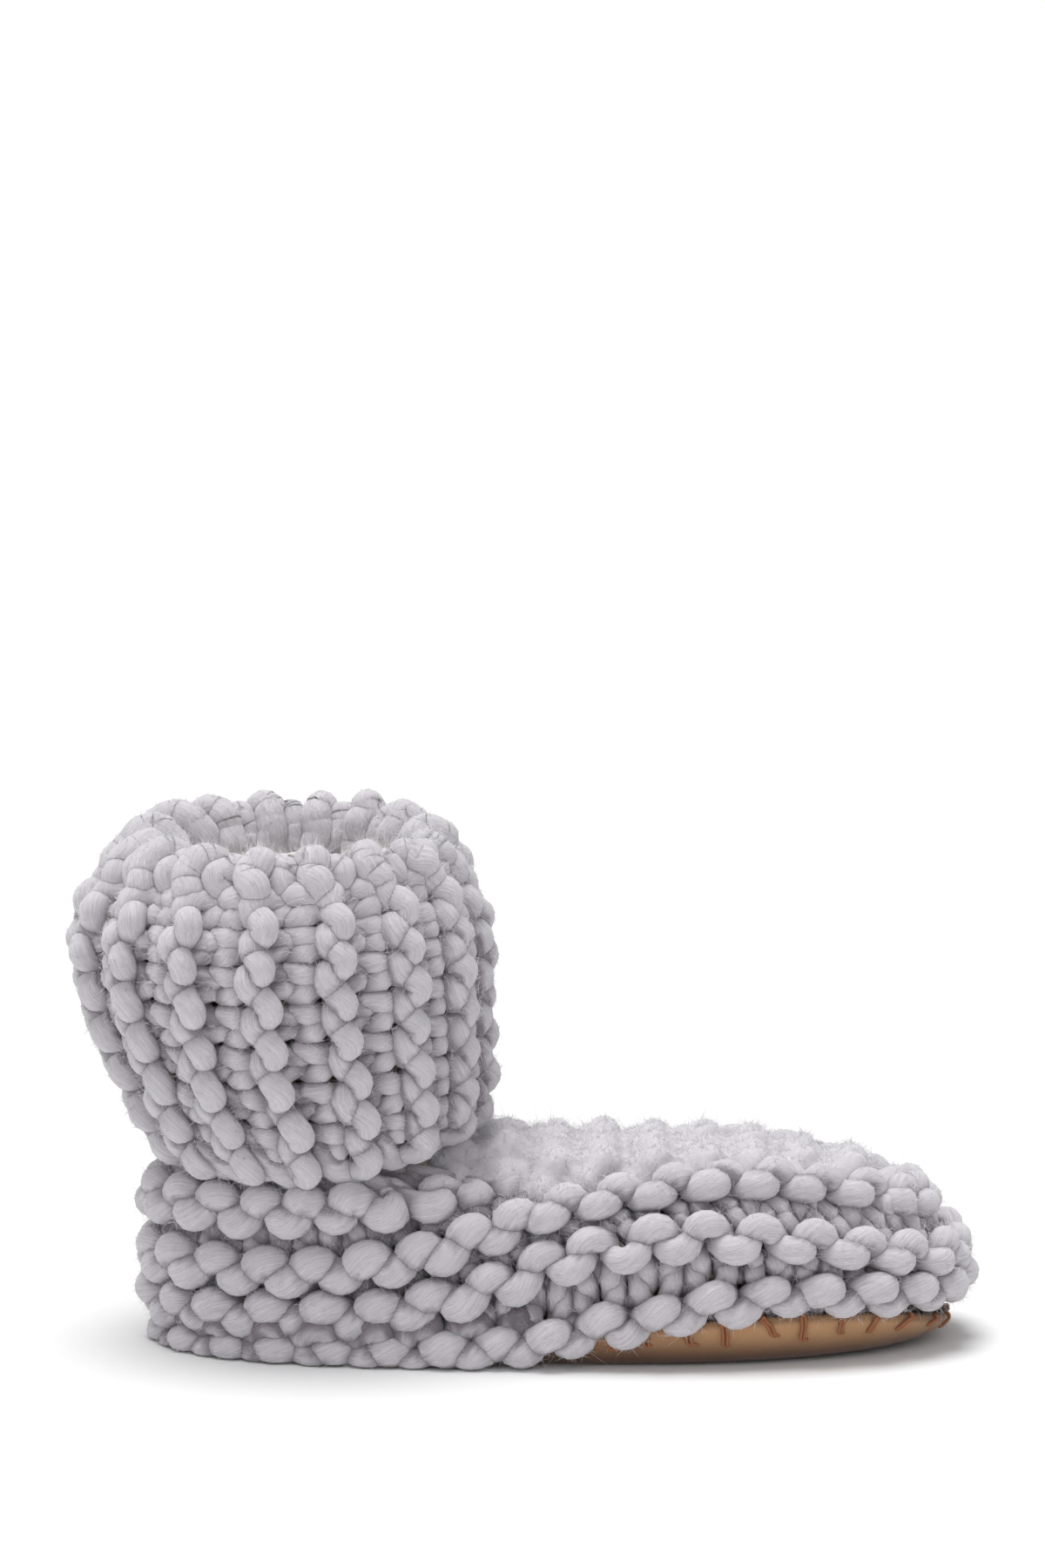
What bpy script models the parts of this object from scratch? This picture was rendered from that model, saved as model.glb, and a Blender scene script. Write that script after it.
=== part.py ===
"""Chunky knitted boot slipper: leather sole, plush insole, knitted foot and turned-down knitted cuff.

Blender 4.5, metres, +Z up. +X points to the toe, the shoe stands on z = 0 and is the same on both
sides of y = 0. Every piece is a loft through closed level sections, from a table with one row for
each section.
Run with: blender --background --python part.py
"""

from collections import namedtuple

import bmesh
import bpy
import numpy as np

MM = 0.001

# Driving dimensions, in millimetres.
LEATHER = 2.0  # thickness of the sole's leather
KNIT = 12.0  # thickness of the foot's knitting where it stands on the leather
GAP = 0.4  # clearance between neighbouring pieces
INSOLE = 6.0  # thickness of the plush insole
INSOLE_GAP = 1.4  # clearance between the insole's edge and the knitting
AROUND = 48  # points in each section

# Where the four heights of a section are given, in degrees round it from the toe.
KEY_ANGLES = (0, 60, 112, 180)

# A closed level section of the foot. Its plan runs from heel_x to toe_x, with ball and heel as its
# half widths there. blunt is 0 for an ellipse and more for straighter sides and rounder ends. wall is
# how far in the inner face lies.
Foot = namedtuple("Foot", "toe_x heel_x ball heel blunt toe_z ball_z waist_z heel_z wall")

# The underside of the leather, from the edge of its flat to its turned-up rim.
SOLE = (
    # toe_x heel_x ball  heel blunt toe_z ball_z waist_z heel_z wall
    Foot(92.0, -87.0, 33.0, 30.5, 0.50, 0.0, 0.0, 0.0, 0.0, 0),
    Foot(109.0, -94.0, 38.8, 33.8, 0.50, 0.8, 0.9, 0.4, 0.4, 0),
    Foot(118.5, -98.6, 43.0, 36.2, 0.50, 2.0, 3.4, 1.2, 1.1, 0),
    Foot(124.2, -101.2, 45.8, 37.5, 0.50, 4.0, 7.8, 2.5, 2.4, 0),
    Foot(127.0, -102.8, 47.0, 38.2, 0.50, 6.6, 13.2, 4.4, 4.2, 0),
)

# The outside of the knitted foot above the rim, up to the collar that the cuff stands on.
UPPER = (
    # toe_x heel_x ball  heel blunt toe_z ball_z waist_z heel_z wall
    Foot(128.8, -106.6, 47.8, 41.2, 0.50, 9.6, 16.2, 7.2, 7.0, 11),
    Foot(133.0, -111.8, 50.0, 43.8, 0.50, 15.0, 24.0, 12.8, 12.4, 12),
    Foot(134.3, -114.8, 51.0, 45.4, 0.50, 22.6, 34.0, 22.0, 21.0, 12),
    Foot(133.4, -115.8, 50.0, 46.2, 0.50, 30.2, 43.6, 31.6, 30.6, 12),
    Foot(129.0, -115.2, 46.6, 46.0, 0.48, 37.0, 49.6, 39.6, 38.6, 12),
    Foot(121.6, -114.4, 41.4, 45.6, 0.44, 43.6, 53.8, 44.4, 43.6, 12),
    Foot(109.0, -113.8, 35.6, 45.2, 0.40, 50.8, 56.6, 47.4, 46.6, 12),
    Foot(84.0, -113.2, 31.6, 44.8, 0.34, 57.8, 58.6, 49.6, 48.8, 12),
    Foot(46.0, -112.4, 31.6, 44.4, 0.26, 61.8, 60.0, 51.4, 50.6, 12),
    Foot(10.0, -110.8, 36.0, 43.2, 0.12, 63.6, 60.2, 52.8, 52.2, 12),
    Foot(-9.0, -107.2, 38.6, 40.2, 0.05, 65.0, 60.8, 54.8, 54.6, 12),
    Foot(-19.4, -102.6, 36.6, 36.6, 0.00, 67.2, 62.8, 57.2, 57.0, 12),
    Foot(-19.4, -102.6, 36.6, 36.6, 0.00, 73.0, 73.0, 73.0, 73.0, 12),
)

# An oval of the cuff's face, which runs from the hem up the turned-down flap, over the fold and down
# inside the leg to the foot's collar. wall is how thick the knitting behind it is.
Cuff = namedtuple("Cuff", "centre_x half_x half_y front_z side_z back_z wall")
CUFF = (
    Cuff(-61.0, 52.2, 47.2, 68.8, 58.8, 58.4, 10),
    Cuff(-63.0, 55.4, 49.6, 76.0, 68.0, 68.0, 11.5),
    Cuff(-67.0, 59.8, 52.6, 91.0, 88.0, 88.0, 13),
    Cuff(-70.0, 62.8, 54.8, 108.0, 107.0, 107.0, 14),
    Cuff(-71.0, 63.2, 55.2, 121.0, 121.0, 121.0, 14),
    Cuff(-71.0, 61.2, 53.4, 132.0, 132.0, 132.0, 13),
    Cuff(-70.6, 56.8, 49.4, 141.0, 141.0, 141.0, 11.5),
    Cuff(-70.2, 50.0, 43.2, 148.6, 148.6, 148.6, 9.5),
    Cuff(-69.8, 41.6, 35.6, 152.8, 152.8, 152.8, 8),
    Cuff(-69.4, 34.6, 29.4, 149.4, 149.4, 149.4, 8.5),
    Cuff(-69.0, 31.0, 26.0, 140.6, 140.6, 140.6, 11),
    Cuff(-67.0, 29.4, 24.6, 120.0, 120.0, 120.0, 13),
    Cuff(-63.6, 29.2, 24.4, 95.0, 95.0, 95.0, 13),
    Cuff(-61.0, 29.6, 24.6, 73.4, 73.4, 73.4, 12),
)

# Colours (linear), roughness.
GREY_WOOL = ((0.56, 0.55, 0.60), 0.95)
TAN_LEATHER = ((0.47, 0.29, 0.17), 0.80)
CREAM_PLUSH = ((0.80, 0.75, 0.64), 0.98)


def around():
    """The angle of each point of a section, from the toe towards +Y."""
    return np.arange(AROUND) * 2 * np.pi / AROUND


def even_wave(angle, *keys):
    """A smooth value at each angle, the same on both sides, through the values at KEY_ANGLES."""
    at = np.radians(KEY_ANGLES)
    order = np.arange(len(keys))
    weights = np.linalg.solve(np.cos(np.outer(at, order)), np.array(keys, float))
    return np.cos(np.outer(angle, order)) @ weights


def foot_section(row):
    """The points of one level section of the foot."""
    angle = around()
    cosine, sine = np.cos(angle), np.sin(angle)
    forward = np.clip(cosine + 0.5, 0, 1)
    half = row.heel + (row.ball - row.heel) * forward**2 * (3 - 2 * forward)
    middle, reach = (row.toe_x + row.heel_x) / 2, (row.toe_x - row.heel_x) / 2
    x = middle + reach * cosine * (1 + row.blunt * sine**2 / 2)
    z = even_wave(angle, row.toe_z, row.ball_z, row.waist_z, row.heel_z)
    return np.stack([x, half * sine, z], axis=1)


def cuff_section(row):
    """The points of one oval of the cuff, lifted at the front where it stands on the instep."""
    angle = around()
    x = row.centre_x + row.half_x * np.cos(angle)
    y = row.half_y * np.sin(angle)
    z = even_wave(angle, row.front_z, (row.front_z + row.side_z) / 2, row.side_z, row.back_z)
    return np.stack([x, y, z], axis=1)


def outward(rings):
    """Unit normals of the surface through the rings, which run upwards on an outer face."""
    along = np.roll(rings, -1, axis=1) - np.roll(rings, 1, axis=1)
    upward = np.gradient(rings, axis=0)
    normal = np.cross(along, upward)
    return normal / np.linalg.norm(normal, axis=2, keepdims=True)


def sole_rings():
    """(underside, upper face) of the leather, each from the flat to the rim."""
    under = np.stack([foot_section(row) for row in SOLE])
    inward = -outward(under)
    inward[0] = (0, 0, 1)
    return under, under + inward * LEATHER


def upper_rings():
    """(outer face, inner face) of the knitted foot, each from the leather to the collar."""
    under, leather_top = sole_rings()
    lift = -outward(under)
    lift[0] = (0, 0, 1)
    seat = (leather_top + lift * GAP)[1:]
    outer = np.concatenate([seat, [foot_section(row) for row in UPPER]])
    seat_walls = np.linspace(KNIT / 3, KNIT * 0.75, len(seat))
    walls = np.concatenate([seat_walls, [row.wall for row in UPPER]])
    normal = outward(outer)
    normal[: len(seat) + 1, :, 2] = 0
    normal[:, :, 2] = np.maximum(normal[:, :, 2], 0)
    normal[-1, :, 2] = 0
    normal /= np.linalg.norm(normal, axis=2, keepdims=True)
    return outer, outer - normal * walls[:, None, None]


def cuff_rings():
    """(face, back) of the cuff's wall, each from the hem over the fold to the foot's collar."""
    face = np.stack([cuff_section(row) for row in CUFF])
    normal = outward(face)
    normal[[0, -1], :, 2] = 0
    normal /= np.linalg.norm(normal, axis=2, keepdims=True)
    walls = np.array([row.wall for row in CUFF])
    return face, face - normal * walls[:, None, None]


def shrunk(ring, by, level):
    """A ring moved inwards by a distance in plan, and put at a level."""
    plan = ring * (1, 1, 0)
    out = np.cross(np.roll(plan, -1, axis=0) - np.roll(plan, 1, axis=0), (0, 0, 1))
    out /= np.linalg.norm(out, axis=1, keepdims=True)
    return plan - out * by + np.outer(np.broadcast_to(level, AROUND), (0, 0, 1))


def cut(rings, level):
    """The ring in which a surface, given by its rings, meets a level."""
    levels = np.broadcast_to(level, AROUND)
    found = [
        [np.interp(levels[k], rings[:, k, 2], rings[:, k, axis]) for axis in (0, 1)]
        for k in range(AROUND)
    ]
    return np.column_stack([found, levels])


def insole_rings():
    """The insole's rings, from the edge of its flat underside to the edge of its flat top."""
    _, inner = upper_rings()
    _, leather_top = sole_rings()
    base, top = LEATHER + GAP, LEATHER + GAP + INSOLE
    edge = np.maximum(leather_top[1, :, 2] + GAP, base + INSOLE / 4)
    shoulder = np.full(AROUND, top - INSOLE / 4)
    levels = np.linspace(edge, shoulder, 5)
    sides = [shrunk(cut(inner, level), INSOLE_GAP, level) for level in levels]
    flat = shrunk(leather_top[0], INSOLE_GAP, base)
    return [flat, *sides, shrunk(cut(inner, top), INSOLE / 3, top)]


def loft(name, rings, closed, finish):
    """An object with quads between neighbouring rings, closed round on itself or with flat ends."""
    form = bmesh.new()
    points = [[form.verts.new(point * MM) for point in ring] for ring in rings]
    pairs = list(zip(points, points[1:] + points[:1]))
    for lower, upper in pairs if closed else pairs[:-1]:
        for k in range(AROUND):
            after = (k + 1) % AROUND
            form.faces.new((lower[k], lower[after], upper[after], upper[k]))
    if not closed:
        form.faces.new(reversed(points[0]))
        form.faces.new(points[-1])
    bmesh.ops.recalc_face_normals(form, faces=form.faces)
    mesh = bpy.data.meshes.new(name)
    form.to_mesh(mesh)
    form.free()
    mesh.shade_smooth()
    mesh.set_sharp_from_angle(angle=np.radians(50))
    mesh.materials.append(material(name, *finish))
    made = bpy.data.objects.new(name, mesh)
    pieces.objects.link(made)
    return made


def material(name, colour, roughness):
    """A plain surface in the piece's own colour."""
    made = bpy.data.materials.new(name)
    made.use_nodes = True
    surface = made.node_tree.nodes["Principled BSDF"]
    surface.inputs["Base Color"].default_value = (*colour, 1)
    surface.inputs["Roughness"].default_value = roughness
    return made


def make_sole():
    under, top = sole_rings()
    return loft("sole", [*under, *top[::-1]], False, TAN_LEATHER)


def make_insole():
    return loft("insole", insole_rings(), False, CREAM_PLUSH)


def make_upper():
    outer, inner = upper_rings()
    return loft("upper", [*outer, *inner[::-1]], True, GREY_WOOL)


def make_cuff():
    face, back = cuff_rings()
    return loft("cuff", [*face, *back[::-1]], True, GREY_WOOL)


for old in list(bpy.data.objects):
    bpy.data.objects.remove(old)
pieces = bpy.data.collections.new("boot_slipper")
bpy.context.scene.collection.children.link(pieces)
make_sole()
make_insole()
make_upper()
make_cuff()
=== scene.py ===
"""Finishes the knitted boot slipper: garter-stitch yarn, fleece, plush insole and stitched leather sole.

The knitting is yarn laid along garter-stitch courses over the shoe's faces. A formula gives each loop its
shape, and nothing is simulated, so yarns may pass a little way into each other where they cross.
Lengths are metres. +X points to the toe and the shoe stands on z = 0.
"""

import math
from collections import namedtuple

import bmesh
import bpy
import numpy as np
from bpy.props import FloatProperty, FloatVectorProperty, IntProperty, PointerProperty
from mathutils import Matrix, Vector, noise
from mathutils.bvhtree import BVHTree
from mathutils.kdtree import KDTree


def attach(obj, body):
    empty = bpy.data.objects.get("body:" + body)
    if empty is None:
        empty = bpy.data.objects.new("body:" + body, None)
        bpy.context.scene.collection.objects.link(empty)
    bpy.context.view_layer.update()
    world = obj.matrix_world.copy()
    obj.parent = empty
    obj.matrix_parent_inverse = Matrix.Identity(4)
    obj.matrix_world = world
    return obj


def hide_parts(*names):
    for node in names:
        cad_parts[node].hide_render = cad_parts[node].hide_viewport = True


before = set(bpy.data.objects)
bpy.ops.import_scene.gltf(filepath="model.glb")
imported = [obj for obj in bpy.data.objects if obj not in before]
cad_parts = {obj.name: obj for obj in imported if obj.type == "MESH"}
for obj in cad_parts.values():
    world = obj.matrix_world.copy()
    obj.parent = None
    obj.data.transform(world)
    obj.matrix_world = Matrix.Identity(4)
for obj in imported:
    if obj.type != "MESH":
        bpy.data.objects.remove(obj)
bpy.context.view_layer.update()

bl_info = {
    "name": "Knitted boot slipper",
    "version": (1, 0, 0),
    "blender": (4, 5, 0),
    "location": "View3D > Sidebar > Slipper",
    "description": "Yarn, lining, insole, leather and stitching of a chunky knitted boot slipper",
    "category": "Object",
}

MM = 0.001
BODY = "root"

# The shoe's form, in millimetres. UPPER is the solid's. SOLE and CUFF are not: SOLE lies up to 1.9 mm outside
# the solid's faces, with a rim 1.8 mm higher at the ball, and CUFF up to 3.9 mm, with a crest 3.2 mm higher
# and an opening about 3 mm narrower all round. The far side's rise, FAR_RISE, comes on top.
LEATHER = 2.0  # thickness of the sole's leather
GAP = 0.4  # clearance between the leather and the knitting
KEY_ANGLES = (0, 60, 112, 180)  # where a foot section's four heights are given, from the toe

Foot = namedtuple("Foot", "toe_x heel_x ball heel blunt toe_z ball_z waist_z heel_z")
SOLE = (
    # toe_x heel_x ball  heel blunt toe_z ball_z waist_z heel_z
    Foot(93.0, -88.0, 36.5, 32.0, 0.50, 0.0, 0.0, 0.0, 0.0),
    Foot(110.0, -95.0, 41.4, 34.6, 0.50, 0.8, 0.9, 0.4, 0.4),
    Foot(119.0, -99.0, 44.6, 36.6, 0.50, 2.0, 3.6, 1.2, 1.1),
    Foot(124.4, -101.4, 46.4, 37.7, 0.50, 4.0, 8.8, 2.5, 2.4),
    Foot(127.0, -102.8, 47.0, 38.2, 0.50, 6.8, 15.0, 4.4, 4.2),
)
UPPER = (
    # toe_x heel_x ball  heel blunt toe_z ball_z waist_z heel_z
    Foot(128.8, -106.6, 47.8, 41.2, 0.50, 9.6, 16.2, 7.2, 7.0),
    Foot(133.0, -111.8, 50.0, 43.8, 0.50, 15.0, 24.0, 12.8, 12.4),
    Foot(134.3, -114.8, 51.0, 45.4, 0.50, 22.6, 34.0, 22.0, 21.0),
    Foot(133.4, -115.8, 50.0, 46.2, 0.50, 30.2, 43.6, 31.6, 30.6),
    Foot(129.0, -115.2, 46.6, 46.0, 0.48, 37.0, 49.6, 39.6, 38.6),
    Foot(121.6, -114.4, 41.4, 45.6, 0.44, 43.6, 53.8, 44.4, 43.6),
    Foot(109.0, -113.8, 35.6, 45.2, 0.40, 50.8, 56.6, 47.4, 46.6),
    Foot(84.0, -113.2, 31.6, 44.8, 0.34, 57.8, 58.6, 49.6, 48.8),
    Foot(46.0, -112.4, 31.6, 44.4, 0.26, 61.8, 60.0, 51.4, 50.6),
    Foot(10.0, -110.8, 36.0, 43.2, 0.12, 63.6, 60.2, 52.8, 52.2),
    Foot(-9.0, -107.2, 38.6, 40.2, 0.05, 65.0, 60.8, 54.8, 54.6),
    Foot(-19.4, -102.6, 36.6, 36.6, 0.00, 67.2, 62.8, 57.2, 57.0),
    Foot(-19.4, -102.6, 36.6, 36.6, 0.00, 73.0, 73.0, 73.0, 73.0),
)
Cuff = namedtuple("Cuff", "centre_x half_x half_y front_z side_z back_z")


def level(centre_x, half_x, half_y, z):
    """An oval of the cuff that lies level."""
    return Cuff(centre_x, half_x, half_y, z, z, z)


CUFF = (
    Cuff(-61.0, 52.2, 47.2, 68.8, 58.8, 58.4),
    Cuff(-63.2, 56.2, 49.6, 76.0, 68.0, 68.0),
    Cuff(-67.8, 61.0, 52.6, 91.0, 88.0, 88.0),
    Cuff(-71.0, 64.2, 54.8, 108.0, 107.0, 107.0),
    level(-72.2, 64.8, 55.2, 121.0),
    level(-72.0, 62.6, 53.4, 132.0),
    level(-71.4, 58.0, 49.4, 141.4),
    level(-70.6, 52.6, 45.2, 149.8),
    level(-70.0, 46.2, 39.8, 154.8),
    level(-69.7, 40.2, 34.4, 156.0),
    level(-69.4, 34.6, 29.0, 153.0),
    level(-69.2, 30.0, 24.8, 147.0),
    level(-69.0, 27.6, 22.8, 138.0),
    level(-67.0, 28.4, 23.8, 120.0),
    level(-63.6, 29.2, 24.4, 95.0),
    level(-61.0, 29.6, 24.6, 73.4),
)

# Ovals of the fleece's face inside the leg, from the ragged top in the collar down to the foot.
LEG = (
    level(-69.2, 29.0, 24.2, 142.0),
    level(-69.0, 27.4, 22.6, 138.0),
    level(-68.2, 25.6, 21.0, 133.0),
    level(-67.0, 26.8, 22.2, 118.0),
    level(-63.6, 26.6, 22.0, 95.0),
    level(-61.0, 27.0, 22.4, 77.0),
)

# The lines that the middles of the foot's garter ridges follow, two courses apart: their plans, like a foot
# section's, and their heights where they pass a station along the foot. under lies on the leather, and low,
# middle and high run right round the foot. heel and ankle show only behind the instep. Millimetres.
Plan = namedtuple("Plan", "toe_x heel_x ball heel blunt")
PLANS = {
    # toe_x heel_x ball  heel blunt
    "under": Plan(120.0, -98.0, 43.0, 36.5, 0.50),
    "low": Plan(134.0, -109.6, 52.0, 45.2, 0.50),
    "middle": Plan(133.9, -114.2, 50.9, 44.8, 0.50),
    "high": Plan(121.8, -115.8, 39.0, 45.9, 0.44),
    "heel": Plan(104.0, -114.4, 27.0, 45.2, 0.35),
    "ankle": Plan(-12.0, -106.0, 38.0, 39.5, 0.00),
}
Ridges = namedtuple("Ridges", "x under low middle high heel ankle")
RIDGES = (
    # x   under low  middle high heel ankle
    Ridges(-120, 0.2, 1.6, 14.5, 27.6, 46.0, 61.0),
    Ridges(-77, 0.2, 1.4, 14.0, 26.8, 46.0, 61.0),
    Ridges(-41, 0.2, 1.8, 16.2, 30.6, 48.0, 64.0),
    Ridges(-26, 0.6, 2.8, 19.4, 34.2, 51.5, 67.0),
    Ridges(-13, 1.2, 5.2, 23.8, 41.0, 55.0, 70.0),
    Ridges(0, 1.8, 7.2, 31.0, 46.2, 58.0, 68.0),
    Ridges(25, 3.0, 12.0, 39.0, 52.4, 61.0, 68.0),
    Ridges(50, 4.8, 19.4, 42.6, 57.0, 61.5, 68.0),
    Ridges(76, 5.4, 22.6, 40.6, 57.4, 60.5, 68.0),
    Ridges(101, 5.4, 21.6, 35.2, 52.0, 55.0, 68.0),
    Ridges(121, 5.4, 19.4, 30.8, 45.4, 49.0, 68.0),
    Ridges(136, 5.4, 17.6, 29.2, 42.0, 44.0, 68.0),
)
FAR_SIDE = {"middle": 1.0, "high": 3.6, "heel": 3.6, "ankle": 1.0}  # how much lower on the far side

# Top of the instep's panel along the middle of the foot. Millimetres.
INSTEP_TOP = (
    (-30, 66.4), (5, 64.6), (25, 63.8), (63, 62.6), (89, 59.6), (102, 56.4), (112, 51.6), (118, 46.0),
)

WALE_X = 20.5  # where a stitch of the foot stands on the near side

STEPS = 18  # points along one stitch of yarn
SIDES = 14  # points round the yarn
LOOP = ((1, 1.104), (3, 0.878), (5, -0.631), (7, 0.16))  # a loop's way in and out of the wall, as waves
RIM_RISE = 4.0  # how much nearer to the face the cuff's yarns run over the rim, in millimetres
SWING = 1.2  # how far each loop leans over its neighbours, in radians of the stitch
CROWD = 0.17  # how much closer a stitch's points lie on its beads
HEEL_FAT = 0.24  # how much thicker the yarn swells at the heel than at the toe
INSTEP_INSET = 9.6  # depth of the middle of the instep's wall behind its face, in millimetres
FAR_RISE = 4.5  # how much higher the cuff's rim stands on the far side, in millimetres
RIM_ROW = 32  # the row of the leather's outer face that is its rim, for the whip stitches
HAIR = 0.065  # radius of a loose fibre at its root, in millimetres
FLOOR = 30.0  # half the floor's width, in metres
CREASE_TINT = (0.26, 0.225, 0.25)  # painted shade of the wool deep between its yarns
# At half strength SOLE_TINT is also the darker colour of the leather's cut edge.
SOLE_TINT = (0.16, 0.10, 0.08)  # painted shade of the leather low on its side


class SlipperKnit(bpy.types.PropertyGroup):
    """How the shoe is knitted."""

    bead: FloatProperty(
        name="Bead", description="Radius of the yarn where it swells on a ridge",
        default=4.65 * MM, unit="LENGTH",
    )
    leg: FloatProperty(
        name="Leg", description="Radius of the yarn between two ridges",
        default=3.1 * MM, unit="LENGTH",
    )
    cuff_bead: FloatProperty(
        name="Cuff bead", description="Radius of the cuff's yarn on a ridge",
        default=4.45 * MM, unit="LENGTH",
    )
    cuff_leg: FloatProperty(
        name="Cuff leg", description="Radius of the cuff's yarn between two ridges",
        default=3.7 * MM, unit="LENGTH",
    )
    foot_stitch: FloatProperty(
        name="Foot stitch", description="Length of a stitch round the foot",
        default=17.0 * MM, unit="LENGTH",
    )
    instep_stitch: FloatProperty(
        name="Instep stitch", description="Length of a stitch across the instep",
        default=13.0 * MM, unit="LENGTH",
    )
    instep_course: FloatProperty(
        name="Instep course", description="Distance between the instep's courses",
        default=7.3 * MM, unit="LENGTH",
    )
    cuff_stitch: FloatProperty(
        name="Cuff stitch", description="Length of a stitch up the cuff",
        default=13.0 * MM, unit="LENGTH",
    )
    ridge: FloatProperty(
        name="Ridge", description="How far a ridge stands from the middle of the wall",
        default=3.2 * MM, unit="LENGTH",
    )
    inset: FloatProperty(
        name="Inset", description="Depth of the middle of the wall behind the shoe's face",
        default=9.6 * MM, unit="LENGTH",
    )
    cuff_inset: FloatProperty(
        name="Cuff inset", description="Depth of the middle of the cuff's wall behind its face",
        default=8.8 * MM, unit="LENGTH",
    )
    fold: FloatProperty(
        name="Fold", description="How far the valleys between the ridges sink in",
        default=1.2 * MM, unit="LENGTH",
    )
    cuff_courses: IntProperty(
        name="Cuff courses", description="Courses round the cuff, two for each upright ridge",
        default=32, min=8,
    )


class SlipperColours(bpy.types.PropertyGroup):
    """The colours of the shoe's materials."""

    wool: FloatVectorProperty(
        name="Wool", description="Colour of the knitting yarn",
        default=(0.605, 0.58, 0.62), size=3, subtype="COLOR", min=0, max=1,
    )
    fleece: FloatVectorProperty(
        name="Fleece", description="Colour of the lining and the insole",
        default=(0.80, 0.75, 0.64), size=3, subtype="COLOR", min=0, max=1,
    )
    leather: FloatVectorProperty(
        name="Leather", description="Colour of the sole",
        default=(0.47, 0.265, 0.125), size=3, subtype="COLOR", min=0, max=1,
    )
    thread: FloatVectorProperty(
        name="Thread", description="Colour of the whip stitches",
        default=(0.29, 0.11, 0.045), size=3, subtype="COLOR", min=0, max=1,
    )


# ---------------------------------------------------------------- the shoe's faces


def even_wave(angle, *keys):
    """A smooth value at each angle, the same on both sides, through the values at KEY_ANGLES."""
    order = np.arange(len(keys))
    weights = np.linalg.solve(np.cos(np.outer(np.radians(KEY_ANGLES), order)), np.array(keys, float))
    return np.cos(np.outer(angle, order)) @ weights


def ease(value, low, high):
    """0 below low, 1 above high and smooth between them."""
    share = np.clip((value - low) / (high - low), 0, 1)
    return share**2 * (3 - 2 * share)


def foot_plan(row, angle):
    """(x, y) of one section of the foot, at angles from the toe towards +Y."""
    cosine, sine = np.cos(angle), np.sin(angle)
    forward = np.clip(cosine + 0.5, 0, 1)
    half = row.heel + (row.ball - row.heel) * forward**2 * (3 - 2 * forward)
    middle, reach = (row.toe_x + row.heel_x) / 2, (row.toe_x - row.heel_x) / 2
    return middle + reach * cosine * (1 + row.blunt * sine**2 / 2), half * sine


def foot_section(row, angle):
    """The points of one section of the foot. Its height varies round it."""
    z = even_wave(angle, row.toe_z, row.ball_z, row.waist_z, row.heel_z)
    return np.stack([*foot_plan(row, angle), z], axis=1) * MM


def ridge_line(name, angle):
    """The points of one ridge's line round the foot."""
    x, y = foot_plan(PLANS[name], angle)
    z = np.interp(x, [row.x for row in RIDGES], [getattr(row, name) for row in RIDGES])
    z = z - FAR_SIDE.get(name, 0) * np.clip(y / 25, 0, 1)
    for _ in range(3):
        z = (np.roll(z, 3) + z + np.roll(z, -3)) / 3
    return np.stack([x, y, z], axis=1) * MM


def cuff_section(row, angle):
    """The points of one oval of the cuff's face."""
    x = row.centre_x + row.half_x * np.cos(angle)
    y = row.half_y * np.sin(angle)
    z = even_wave(angle, row.front_z, (row.front_z + row.side_z) / 2, row.side_z, row.back_z)
    return np.stack([x, y, z], axis=1) * MM


def outward(rings):
    """Unit normals of the surface through rings that run upwards on an outer face."""
    along = np.roll(rings, -1, axis=1) - np.roll(rings, 1, axis=1)
    normal = np.cross(along, np.gradient(rings, axis=0))
    return normal / np.linalg.norm(normal, axis=2, keepdims=True)


def threaded(rows, number):
    """That number of rows on the smooth surface through a few."""
    place = np.linspace(0, len(rows) - 1, number)
    low = np.clip(place.astype(int), 0, len(rows) - 2)
    part = (place - low)[:, None, None]
    before, start = rows[np.maximum(low - 1, 0)], rows[low]
    end, after = rows[low + 1], rows[np.minimum(low + 2, len(rows) - 1)]
    bend = 2 * before - 5 * start + 4 * end - after
    turn = 3 * start - before - 3 * end + after
    return start + ((end - before) * part + bend * part**2 + turn * part**3) / 2


def leather_faces(angle):
    """(underside, upper face) of the leather, each from the flat to the rim."""
    under = np.stack([foot_section(row, angle) for row in SOLE])
    inward = -outward(under)
    inward[0] = (0, 0, 1)
    return under, under + inward * LEATHER * MM


def lengths(rows):
    """Distance along each column of a grid of points from its first row."""
    steps = np.linalg.norm(np.diff(rows, axis=0), axis=2)
    return np.concatenate([np.zeros((1, rows.shape[1])), np.cumsum(steps, axis=0)])


def read_columns(rows, along, wanted):
    """The points at the wanted distances along each column. Both are (rows, columns)."""
    found = np.empty((*wanted.shape, 3))
    for k in range(rows.shape[1]):
        for axis in range(3):
            found[:, k, axis] = np.interp(wanted[:, k], along[:, k], rows[:, k, axis])
    return found


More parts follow.
